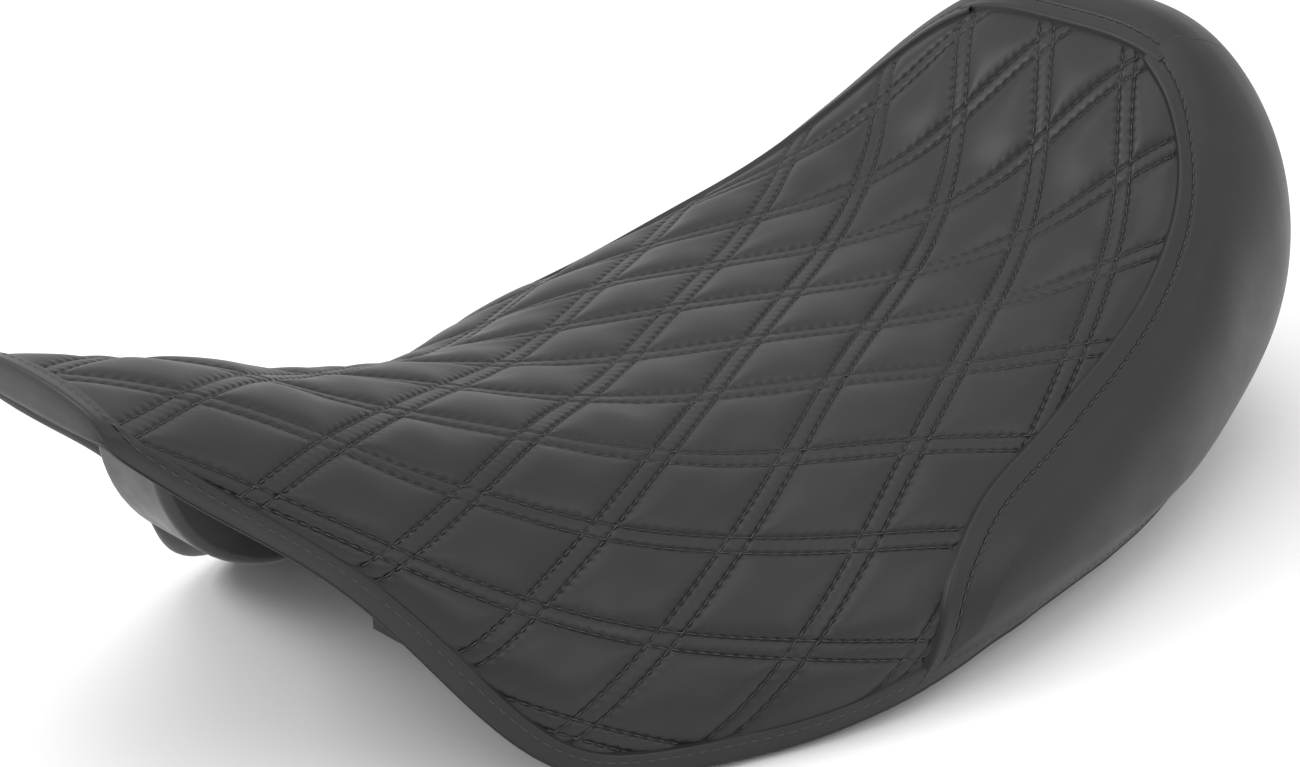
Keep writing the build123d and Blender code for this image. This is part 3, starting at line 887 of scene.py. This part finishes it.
def metal(name, dark, light, rough_low, rough_high):
    """Bare metal with fine lines and patchy gloss."""
    m = Shader(name)
    lines = m.noise(900, 3.0, 0.6, (1, 12, 1))
    return m.finish(m.colours(m.noise(80, 4.0), dark, light),
                    m.span(m.noise(180, 5.0), 0.3, 0.7, rough_low, rough_high),
                    m.bump(lines, 0.08, 0.0001), Metallic=1.0)


def fibres(name, dark, light):
    """Felt: tangled fibres."""
    m = Shader(name)
    tangle = m.noise(700, 6.0, 0.8, (1, 3, 1))
    lumps = m.cells(350)
    normal = m.bump(m.math("ADD", tangle, m.math("MULTIPLY", lumps, 0.6)), 0.8, 0.0012)
    return m.finish(m.colours(tangle, dark, light), 0.95, normal, Sheen_Weight=0.5, Sheen_Roughness=0.6)


def foam(name, dark, light, scale):
    """Open foam with small bubbles."""
    m = Shader(name)
    bubbles = m.cells(scale)
    return m.finish(m.colours(m.span(bubbles, 0.1, 0.6, 0, 1), dark, light), 0.9,
                    m.bump(bubbles, 0.7, 0.0008), Specular_IOR_Level=0.25)


looks = {
    "pan_plastic": moulded("pan_plastic_look", (0.014, 0.014, 0.015), (0.020, 0.020, 0.021), 0.28, 0.44),
    "core_foam": foam("core_foam_look", (0.62, 0.57, 0.44), (0.80, 0.76, 0.62), 700),
    "sew_foam": foam("sew_foam_look", (0.42, 0.42, 0.40), (0.60, 0.60, 0.58), 900),
    "felt": fibres("felt_look", (0.016, 0.016, 0.017), (0.055, 0.055, 0.058)),
    "pad_foam": foam("pad_foam_look", (0.020, 0.020, 0.020), (0.055, 0.055, 0.055), 800),
    "bumper_rubber": moulded("rubber_look", (0.012, 0.012, 0.012), (0.020, 0.020, 0.020), 0.55, 0.75,
                             500, 0.0004),
    "coated_steel": moulded("coated_steel_look", (0.016, 0.016, 0.017), (0.024, 0.024, 0.026), 0.30, 0.42,
                            260, 0.0005),
    "nylon": moulded("nylon_look", (0.62, 0.60, 0.52), (0.74, 0.72, 0.64), 0.35, 0.5,
                     Subsurface_Weight=0.2),
    "screw_metal": metal("screw_look", (0.60, 0.60, 0.61), (0.74, 0.74, 0.76), 0.12, 0.24),
    "rivet_metal": metal("rivet_look", (0.52, 0.52, 0.52), (0.68, 0.68, 0.68), 0.28, 0.45),
    "staple_steel": metal("staple_look", (0.42, 0.42, 0.42), (0.58, 0.58, 0.58), 0.25, 0.4),
    "facing_vinyl": strip_vinyl,
    "quilt_vinyl": quilt_vinyl,
    "border_vinyl": border_vinyl,
}
for part in frame["record"]["subparts"]:
    node = frame["nodes"][part["node"]]
    node.data.materials.clear()
    node.data.materials.append(looks[part["material_slot"]])

paint(quilt, quilt_vinyl)
paint(border, border_vinyl)
paint(edge_strip, strip_vinyl)
paint(quilt_thread, thread_look)
paint(border_thread, thread_look)
paint(hem_thread, thread_look)
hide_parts("quilted_panel", "quilt_sew_foam")
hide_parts("rear_border_panel", "border_sew_foam")
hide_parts("edge_skirt", "nose_facing", "tail_facing")


# ---------------------------------------------------------------- camera, floor and light
def aim(obj, position, forward, up):
    """Point an object's -Z along forward, with its +Y near up."""
    forward = Vector(forward).normalized()
    right = forward.cross(Vector(up)).normalized()
    top = right.cross(forward)
    turn = Matrix((right, top, -forward)).transposed().to_4x4()
    obj.matrix_world = Matrix.Translation(Vector(position)) @ turn


camera_data = bpy.data.cameras.new("camera")
camera_data.lens = 83.08
camera_data.sensor_width = 36.0
camera_data.clip_start = 0.05
camera = bpy.data.objects.new("camera", camera_data)
bpy.context.scene.collection.objects.link(camera)
aim(camera, (0.7841, 0.8361, 0.5676), (-0.6101, -0.6849, -0.3984), (-0.2804, -0.2836, 0.917))
bpy.context.scene.camera = camera

FLOOR_HALF = 15.0
FLOOR_Z = -0.5 * MM
corners = [(x * FLOOR_HALF, y * FLOOR_HALF, FLOOR_Z) for x, y in ((-1, -1), (1, -1), (1, 1), (-1, 1))]
floor = make_object("floor", corners, [[0, 1, 2, 3]], smooth_shading=False)
floor_look = Shader("floor_look")
floor.data.materials.append(floor_look.finish((0.93, 0.93, 0.93), 0.9))
LAMP_TARGET = Vector((0, 0, 0.1))


def lamp(name, position, size, power):
    """A soft rectangular lamp aimed at the seat."""
    data = bpy.data.lights.new(name, "AREA")
    data.shape = "RECTANGLE"
    data.size, data.size_y = size
    data.energy = power
    obj = bpy.data.objects.new(name, data)
    bpy.context.scene.collection.objects.link(obj)
    forward = LAMP_TARGET - Vector(position)
    steep = abs(forward.normalized().z) > 0.95
    aim(obj, position, forward, (0, 1, 0) if steep else (0, 0, 1))


lamp("key", (1.6, -1.2, 1.7), (1.2, 1.0), 26)
lamp("side", (-0.6, 1.9, 1.6), (1.6, 1.2), 9)
lamp("top", (0.1, 0.0, 2.2), (1.6, 1.6), 12)
world = bpy.data.worlds.new("white_room")
bpy.context.scene.world = world
world.use_nodes = True
world.node_tree.nodes["Background"].inputs[0].default_value = (1, 1, 1, 1)
world.node_tree.nodes["Background"].inputs[1].default_value = 0.9
bpy.context.scene.view_settings.view_transform = "Standard"

write_size()
